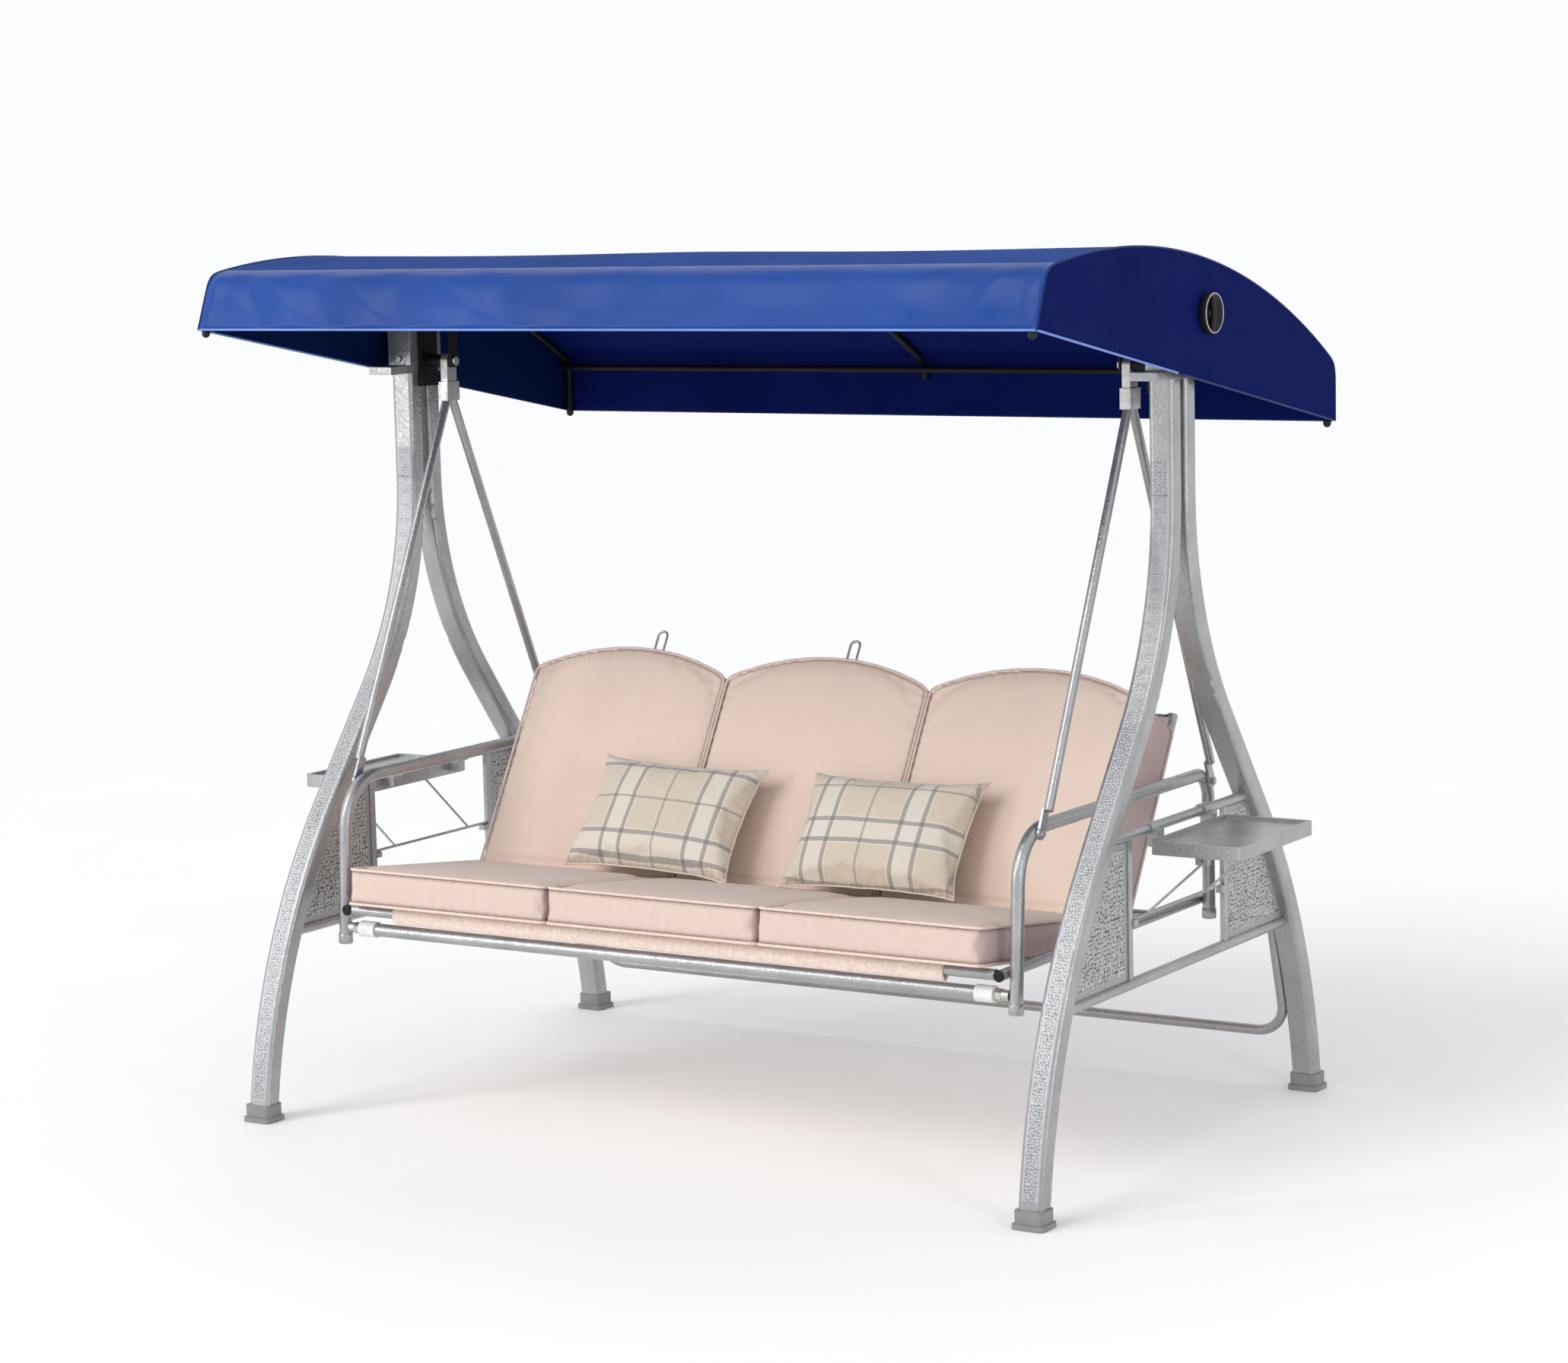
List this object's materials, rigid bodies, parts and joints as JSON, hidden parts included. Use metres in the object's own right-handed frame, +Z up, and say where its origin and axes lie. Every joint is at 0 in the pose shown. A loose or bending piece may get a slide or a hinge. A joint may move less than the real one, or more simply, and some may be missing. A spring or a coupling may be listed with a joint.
{
  "type": "glider swing",
  "caption": "Three-seat garden glider swing: curved A-frame stand, cushioned bench hung on rods, tilting canopy and fold-down side tables.",
  "frame": {"origin": "on the floor under the middle of the stand", "axes": "+Z up, -Y the open front of the seat, +X along the bench"},
  "size_m": [2.3006, 1.3216, 1.8231],
  "materials": {
    "steel": "hammered silver-grey powder coat",
    "zinc": "zinc plated",
    "black_steel": "satin black paint",
    "black_plastic": "moulded, fine grain",
    "white_plastic": "moulded, satin",
    "sling_fabric": "woven polyester",
    "cushion_fabric": "woven polyester, piped edges",
    "plaid_fabric": "woven check, grey lines on cream",
    "canopy_fabric": "coated polyester with a satin sheen"
  },
  "bodies": {
    "stand": {"leg_front_left": "steel", "leg_front_right": "steel", "leg_rear_left": "steel", "leg_rear_right": "steel", "foot_caps": "black_plastic", "column_head_left": "steel", "column_head_right": "steel", "frame_bolts": "zinc", "top_beam": "steel", "lower_braces": "steel", "stiles": "steel", "mesh_panels": "steel", "table_bar_left": "steel", "table_bar_right": "steel", "prop_hooks": "steel", "rear_stretcher": "steel", "hanger_brackets": "black_steel", "hanger_pins": "zinc", "tilt_bushes": "black_plastic"},
    "bench": {"hanger_eye_left": "zinc", "hanger_eye_right": "zinc", "rod_front_left": "steel", "rod_front_right": "steel", "rod_rear_left": "steel", "rod_rear_right": "steel", "rod_bolts": "zinc", "arm_frame_left": "steel", "arm_frame_right": "steel", "front_rail": "steel", "rail_sleeves": "white_plastic", "rail_nuts": "zinc", "seat_side_rails": "steel", "seat_cross_tubes": "steel", "seat_sling": "sling_fabric", "back_side_tubes": "steel", "back_top_tube": "steel", "back_sling": "sling_fabric", "side_plates": "steel", "cushion_hooks": "zinc", "seat_cushion_left": "cushion_fabric", "seat_cushion_middle": "cushion_fabric", "seat_cushion_right": "cushion_fabric", "back_cushion_left": "cushion_fabric", "back_cushion_middle": "cushion_fabric", "back_cushion_right": "cushion_fabric", "pillow_left": "plaid_fabric", "pillow_right": "plaid_fabric"},
    "canopy": {"canopy_cover": "canopy_fabric", "canopy_rib_left": "black_steel", "canopy_rib_middle": "black_steel", "canopy_rib_right": "black_steel", "canopy_bars": "black_steel", "rib_tips": "black_plastic", "pivot_plates": "black_steel"},
    "knob_left": {"tilt_knob_left": "black_plastic"},
    "knob_right": {"tilt_knob_right": "black_plastic"},
    "table_left": {"tray_left": "steel"},
    "table_right": {"tray_right": "steel"},
    "prop_left": {"prop_left": "steel"},
    "prop_right": {"prop_right": "steel"}
  },
  "joints": [
    {"name": "bench_swing", "type": "hinge", "parent": "stand", "child": "bench", "pos_m": [0, 0, 1.585], "axis": [1, 0, 0], "range_deg": [-18, 18]},
    {"name": "canopy_tilt", "type": "hinge", "parent": "stand", "child": "canopy", "pos_m": [0, 0.036, 1.685], "axis": [1, 0, 0], "range_deg": [-20, 25]},
    {"name": "knob_left_turn", "type": "hinge", "parent": "stand", "child": "knob_left", "pos_m": [-0.985, 0.036, 1.685], "axis": [-1, 0, 0], "continuous": true},
    {"name": "knob_right_turn", "type": "hinge", "parent": "stand", "child": "knob_right", "pos_m": [0.985, 0.036, 1.685], "axis": [1, 0, 0], "continuous": true},
    {"name": "table_left_fold", "type": "hinge", "parent": "stand", "child": "table_left", "pos_m": [-0.93, 0, 0.683], "axis": [0, -1, 0], "range_deg": [0, 88]},
    {"name": "table_right_fold", "type": "hinge", "parent": "stand", "child": "table_right", "pos_m": [0.93, 0, 0.683], "axis": [0, 1, 0], "range_deg": [0, 88]},
    {"name": "prop_left_turn", "type": "hinge", "parent": "table_left", "child": "prop_left", "pos_m": [-1.06, 0, 0.63], "axis": [0, -1, 0], "range_deg": [0, 41.5]},
    {"name": "prop_right_turn", "type": "hinge", "parent": "table_right", "child": "prop_right", "pos_m": [1.06, 0, 0.63], "axis": [0, 1, 0], "range_deg": [0, 41.5]}
  ],
  "couplings": [
    {"joint": "prop_left_turn", "follows": "table_left_fold", "ratio": 0.47155},
    {"joint": "prop_right_turn", "follows": "table_right_fold", "ratio": 0.47155}
  ]
}
